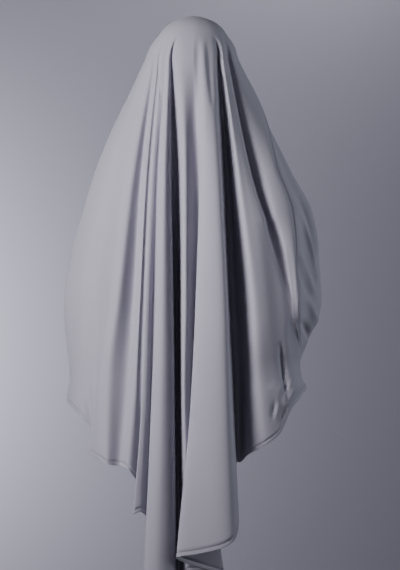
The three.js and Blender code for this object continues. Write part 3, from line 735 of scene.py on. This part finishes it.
outer_line, line_normals = on_front(BAND_WIDTH)
inner_line, _ = on_front(0.0)
around = np.roll(outer_line, -1, axis=0) - np.roll(outer_line, 1, axis=0)
band_out = unit(np.cross(around, inner_line - outer_line))
band_out *= np.sign((band_out * line_normals).sum(axis=-1, keepdims=True))
band_share = np.array([row["width"] for row in BAND_SECTION])[None, :, None]
band_rise = np.array([row["out"] for row in BAND_SECTION])[None, :, None] - CLOTH / 2
band_rings = outer_line[:, None] * (1 - band_share) + inner_line[:, None] * band_share
band_rings = band_rings + band_out[:, None] * band_rise
face_binding = tube("face_binding", band_rings, closed=True)
print("face_binding:", len(face_binding.data.polygons), "faces")

# %% [markdown]
# ## The hems
# The edge is turned twice and stitched, so it is thicker than the cloth and has a groove along the
# stitches. Its section is carried along the edge, so that it follows every fold. Solidify with a
# vertex group could thicken the edge, but it couldn't press in the groove.

# %% Hems
STITCH_LINE = 7.4

# The hem's section: height above the edge, and millimetres out from the middle of the cloth
HEM_SECTION = [
    dict(height=9.0, out=0.3),
    dict(height=8.6, out=0.6),
    dict(height=7.9, out=0.75),
    dict(height=STITCH_LINE, out=0.5),
    dict(height=6.8, out=0.75),
    dict(height=4.0, out=0.8),
    dict(height=1.0, out=0.7),
    dict(height=0.2, out=0.4),
    dict(height=0.0, out=0.0),
    dict(height=0.2, out=-0.4),
    dict(height=1.0, out=-0.7),
    dict(height=8.6, out=-0.7),
    dict(height=9.0, out=-0.3),
]


def hem_of(name, part):
    """The hem of a panel, from seam to seam: the section carried along the panel's lower edge."""
    grid, normal = whole[:, parts[part]], whole_normals[:, parts[part]]
    rings = []
    for row in HEM_SECTION:
        places = places_above_edge(grid, max(row["height"], 1e-3))[None]
        middle = rows_at(grid, places)[0] - rows_at(normal, places)[0] * CLOTH / 2
        rings.append(middle + rows_at(normal, places)[0] * row["out"])
    return tube(name, np.stack(rings, axis=1))


hem_behind = hem_of("hem_behind", "back")
hem_in_front = hem_of("hem_in_front", "front")
print("hems:", len(hem_behind.data.polygons), "and", len(hem_in_front.data.polygons), "faces")

# %% [markdown]
# ## The seam
# The panels meet in a seam that runs from one hem over the crown to the other. It is a thin ridge in
# a shallow valley, and the photograph shows it as a dark line. A bump line could look like it from
# afar, but it would vanish at the outline.

# %% Seam
SEAM_WIDTH = 3.2
SEAM_RISE = 0.8
SEAM_TOP_ROW = 3
SEAM_EVENING = 3

# The seam's section: shares of its half width, and shares of its rise above the cloth
SEAM_SECTION = [
    dict(side=-1.0, up=-0.3),
    dict(side=-0.9, up=0.35),
    dict(side=-0.45, up=0.9),
    dict(side=0.0, up=1.0),
    dict(side=0.45, up=0.9),
    dict(side=0.9, up=0.35),
    dict(side=1.0, up=-0.3),
    dict(side=0.5, up=-0.9),
    dict(side=-0.5, up=-0.9),
]
seam_rows = slice(SEAM_TOP_ROW, ROWS)
path = np.concatenate([whole[seam_rows, 0][::-1], apex[0, :1], whole[seam_rows, SEAM_COLUMN]])
path_up = np.concatenate(
    [whole_normals[seam_rows, 0][::-1], apex_normal[0, :1], whole_normals[seam_rows, SEAM_COLUMN]]
)
for _ in range(SEAM_EVENING):
    path_up[1:-1] = (path_up[:-2] + 2 * path_up[1:-1] + path_up[2:]) / 4
path_up = unit(path_up)
sideways = unit(np.cross(np.gradient(path, axis=0), path_up))
side = np.array([row["side"] for row in SEAM_SECTION])[None, :, None] * SEAM_WIDTH / 2
rise = np.array([row["up"] for row in SEAM_SECTION])[None, :, None] * SEAM_RISE
seam_rings = path[:, None] + sideways[:, None] * side + path_up[:, None] * rise
seam_ridge = tube("seam_ridge", seam_rings)
print("seam_ridge:", len(seam_ridge.data.polygons), "faces")


# %% Outward faces
def turned_out(piece):
    """Turns a closed mesh's faces round where its volume comes out negative."""
    mesh = piece.data
    mesh.calc_loop_triangles()
    points = np.empty(len(mesh.vertices) * 3)
    mesh.vertices.foreach_get("co", points)
    index = np.empty(len(mesh.loop_triangles) * 3, np.int32)
    mesh.loop_triangles.foreach_get("vertices", index)
    a, b, c = points.reshape(-1, 3)[index.reshape(-1, 3)].transpose(1, 0, 2)
    volume = (a * np.cross(b, c)).sum() / 6
    if volume < 0:
        mesh.flip_normals()
    print(piece.name, "volume", round(abs(volume) * 1e6, 1), "cm3", "turned" if volume < 0 else "")


for piece in (back_cloth, front_cloth, face_binding, hem_behind, hem_in_front, seam_ridge):
    turned_out(piece)


# %% [markdown]
# ## The stitches
# A machine's stitches are 2 to 3 mm long. Each is a lens with six sides, pressed into the hem's
# groove. With so few faces, hundreds of them weigh little.

# %% Stitches
STITCH_LENGTH = 2.3
STITCH_PITCH = 3.2
STITCH_WIDTH = 0.7
STITCH_RISE = 0.3
STITCH_FLOAT = 0.05
STITCH_START = 12
STITCH_CORNERS = [(1, 0), (0.5, 1), (-0.5, 1), (-1, 0), (-0.5, -1), (0.5, -1)]


def on_line(line, run, at):
    """Points or vectors of a line, at distances along it: each coordinate on its own, in between."""
    return np.stack([np.interp(at, run, line[:, k]) for k in range(3)], axis=-1)


def stitches_of(name, part):
    """A line of small flat stitches along a panel's hem, each a six-sided lens."""
    grid, normal = whole[:, parts[part]], whole_normals[:, parts[part]]
    places = places_above_edge(grid, STITCH_LINE)[None]
    line, out = rows_at(grid, places)[0], rows_at(normal, places)[0]
    run = np.concatenate([[0], np.cumsum(np.linalg.norm(np.diff(line, axis=0), axis=-1))])
    at = np.arange(STITCH_START, run[-1] - STITCH_START, STITCH_PITCH)
    middle, upwards = on_line(line, run, at), unit(on_line(out, run, at))
    along_line = unit(on_line(line, run, at + 1) - middle)
    beside = np.cross(along_line, upwards)
    middle = middle + upwards * STITCH_FLOAT
    ring = [
        middle + along_line * (a * STITCH_LENGTH / 2) + beside * (b * STITCH_WIDTH / 2)
        for a, b in STITCH_CORNERS
    ]
    points = np.stack(
        ring + [middle + upwards * STITCH_RISE, middle - upwards * STITCH_RISE], axis=1
    )
    k = np.arange(6)
    top = np.stack([k, (k + 1) % 6, np.full(6, 6)], axis=1)
    bottom = np.stack([(k + 1) % 6, k, np.full(6, 7)], axis=1)
    one = np.concatenate([top, bottom])
    faces = (one[None] + 8 * np.arange(len(at))[:, None, None]).reshape(-1, 3)
    print(name, len(at), "stitches")
    return object_of(name, points.reshape(-1, 3), faces.ravel(), np.full(len(faces), 3))


stitches_behind = stitches_of("stitches_behind", "back")
stitches_in_front = stitches_of("stitches_in_front", "front")
turned_out(stitches_behind)
turned_out(stitches_in_front)

# %% [markdown]
# ## The material
# It is a light grey crepe with a faint violet tint, smooth and matt. A crepe's grain is finer than a
# pixel of the photograph, so fine noise in the bump is enough, and no thread of it is a mesh.

# %% Crepe
def noise_of(tree, place, scale, detail):
    """A noise pattern on the piece's own coordinates, with scale waves to a metre."""
    noise = tree.nodes.new("ShaderNodeTexNoise")
    noise.inputs["Scale"].default_value = scale
    noise.inputs["Detail"].default_value = detail
    tree.links.new(place.outputs["Object"], noise.inputs["Vector"])
    return noise


def crepe(name, colour, grain):
    """A matt cloth. Fine noise in the bump is the crepe's grain, and slow noise is a slight
    unevenness of its colour, 4% to either side."""
    material = bpy.data.materials.new(name)
    material.use_nodes = True
    tree = material.node_tree
    shader = tree.nodes["Principled BSDF"]
    shader.inputs["Roughness"].default_value = 0.88
    shader.inputs["Specular IOR Level"].default_value = 0.25
    shader.inputs["Sheen Weight"].default_value = 0.12
    shader.inputs["Sheen Roughness"].default_value = 0.5
    place = tree.nodes.new("ShaderNodeTexCoord")
    slow = noise_of(tree, place, 9, 3)
    fine = noise_of(tree, place, grain, 2)
    tint = tree.nodes.new("ShaderNodeMix")
    tint.data_type = "RGBA"
    tint.inputs["A"].default_value = (*[c * 0.96 for c in colour], 1)
    tint.inputs["B"].default_value = (*[c * 1.04 for c in colour], 1)
    bump = tree.nodes.new("ShaderNodeBump")
    bump.inputs["Strength"].default_value = 0.25
    bump.inputs["Distance"].default_value = 0.0004
    tree.links.new(slow.outputs["Fac"], tint.inputs["Factor"])
    tree.links.new(tint.outputs["Result"], shader.inputs["Base Color"])
    tree.links.new(fine.outputs["Fac"], bump.inputs["Height"])
    tree.links.new(bump.outputs["Normal"], shader.inputs["Normal"])
    return material


GREY = (0.455, 0.438, 0.515)
cloth_pieces = [back_cloth, front_cloth, face_binding, hem_behind, hem_in_front, seam_ridge]
thread_pieces = [stitches_behind, stitches_in_front]
cloth_material = crepe("crepe", GREY, 900)
thread_material = crepe("thread", tuple(c * 0.85 for c in GREY), 1500)
for piece in cloth_pieces:
    piece.data.materials.append(cloth_material)
for piece in thread_pieces:
    piece.data.materials.append(thread_material)
print("crepe on", len(cloth_pieces), "pieces, thread on", len(thread_pieces))

# %% [markdown]
# ## What each piece stands for
# The stitches are an addition. Every other piece shows one solid.

# %% Pieces and solids
STANDS_FOR = [
    dict(piece=back_cloth, node="back_panel"),
    dict(piece=front_cloth, node="front_panel"),
    dict(piece=face_binding, node="face_band"),
    dict(piece=hem_behind, node="back_hem"),
    dict(piece=hem_in_front, node="front_hem"),
    dict(piece=seam_ridge, node="panel_seam"),
]
for row in STANDS_FOR:
    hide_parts(row["node"])
for piece in cloth_pieces + thread_pieces:
    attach(piece, "root")
print(len(STANDS_FOR), "solids are replaced")

# %% [markdown]
# ## The light and the backdrop
# A soft key light is at the camera's left, so the right of the cloth falls into shade, as in a
# studio. A weak fill keeps the deep folds from going black, and a cool light draws the right edge.
# The other lights are for the paper wall, which goes all round, so that every view has a background.

# %% Backdrop
FLOOR = -6.0
STAGE_RADIUS = 30.0
STAGE_BEND = 3.0
WALL_TOP = 20.0
TURNS = 64


def backdrop():
    """A floor that bends up into a wall all round, as a profile turned about the upright axis."""
    bend = np.linspace(0, np.pi / 2, 13)
    curve = STAGE_RADIUS - STAGE_BEND + STAGE_BEND * np.sin(bend)
    radius = np.concatenate([[0.01], curve, [STAGE_RADIUS]])
    height = np.concatenate([[0], STAGE_BEND * (1 - np.cos(bend)), [WALL_TOP]]) + FLOOR
    turns = np.arange(TURNS) / TURNS * 2 * np.pi
    x, y = radius[:, None] * np.cos(turns), radius[:, None] * np.sin(turns)
    points = np.stack([x, y, np.broadcast_to(height[:, None], x.shape)], axis=-1) / MM
    first = np.arange(len(radius) - 1) * TURNS
    last = first + TURNS - 1
    closing = np.stack([last, last + TURNS, first + TURNS, first], axis=1)
    faces = np.concatenate([grid_faces(len(radius), TURNS), closing])[:, ::-1]
    return object_of("backdrop", points.reshape(-1, 3), faces.ravel(), np.full(len(faces), 4))


backdrop_piece = backdrop()
paper = bpy.data.materials.new("paper")
paper.use_nodes = True
paper_shader = paper.node_tree.nodes["Principled BSDF"]
paper_shader.inputs["Base Color"].default_value = (0.45, 0.43, 0.51, 1)
paper_shader.inputs["Roughness"].default_value = 0.9
backdrop_piece.data.materials.append(paper)
print("backdrop:", len(backdrop_piece.data.polygons), "faces")


# %% Lights
# Each row is a square area light: its place and size in metres, its power in watts, its colour, and
# the point that it is turned to.
LAMPS = [
    dict(name="key", at=(-2.6, -2.25, 0.1), size=1.7, power=14.8, colour=(1.0, 0.985, 1.01),
         aim=(0.14, -0.15, -0.3)),
    dict(name="fill", at=(0.6, -4.0, 0.2), size=3.0, power=3.4, colour=(0.95, 0.97, 1.0),
         aim=(0.0, -0.05, -0.5)),
    dict(name="rim", at=(3.0, 0.2, 0.2), size=1.2, power=29, colour=(0.9, 0.96, 1.0),
         aim=(0.0, -0.05, -0.5)),
    dict(name="wall_light", at=(-3.6, 28.2, -1.0), size=1.6, power=215, colour=(0.94, 0.95, 1.0),
         aim=(-1.7, 30.0, -0.9)),
    dict(name="wall_top", at=(0.9, 28.6, 3.0), size=1.6, power=34, colour=(0.94, 0.95, 1.0),
         aim=(0.6, 30.0, 2.3)),
    dict(name="front_light", at=(-1.2, 4.2, 0.6), size=2.5, power=30, colour=(1.0, 0.99, 1.0),
         aim=(0.0, -0.05, -0.5)),
    dict(name="wall_behind_camera", at=(0.0, -15.0, -1.0), size=3.0, power=500,
         colour=(0.95, 0.96, 1.0), aim=(0.0, -30.0, -1.0)),
    dict(name="wall_left", at=(-15.0, 0.0, -1.0), size=3.0, power=400, colour=(0.95, 0.96, 1.0),
         aim=(-30.0, -6.0, -1.0)),
    dict(name="wall_right", at=(15.0, 0.0, -1.0), size=3.0, power=400, colour=(0.95, 0.96, 1.0),
         aim=(30.0, -6.0, -1.0)),
]
KEY_SPREAD = 42


def lamp(row):
    """A light from its row. It shines down its own -Z, so its tilt and heading come from the way
    to its aim."""
    data = bpy.data.lights.new(row["name"], "AREA")
    data.size = row["size"]
    data.energy = row["power"]
    data.color = row["colour"]
    made = bpy.data.objects.new(row["name"], data)
    bpy.context.scene.collection.objects.link(made)
    made.location = row["at"]
    way = np.array(row["aim"]) - np.array(row["at"])
    made.rotation_euler = (
        math.atan2(math.hypot(way[0], way[1]), -way[2]),
        0,
        math.atan2(-way[0], way[1]),
    )
    return made


lamps = {row["name"]: lamp(row) for row in LAMPS}
lamps["key"].data.spread = math.radians(KEY_SPREAD)
print(len(lamps), "lights")

# %% A little light from everywhere
WORLD_STRENGTH = 0.07
world = bpy.data.worlds.new("world")
world.use_nodes = True
world.node_tree.nodes["Background"].inputs["Color"].default_value = (0.36, 0.38, 0.43, 1)
world.node_tree.nodes["Background"].inputs["Strength"].default_value = WORLD_STRENGTH
bpy.context.scene.world = world
print("the light from everywhere has strength", WORLD_STRENGTH)
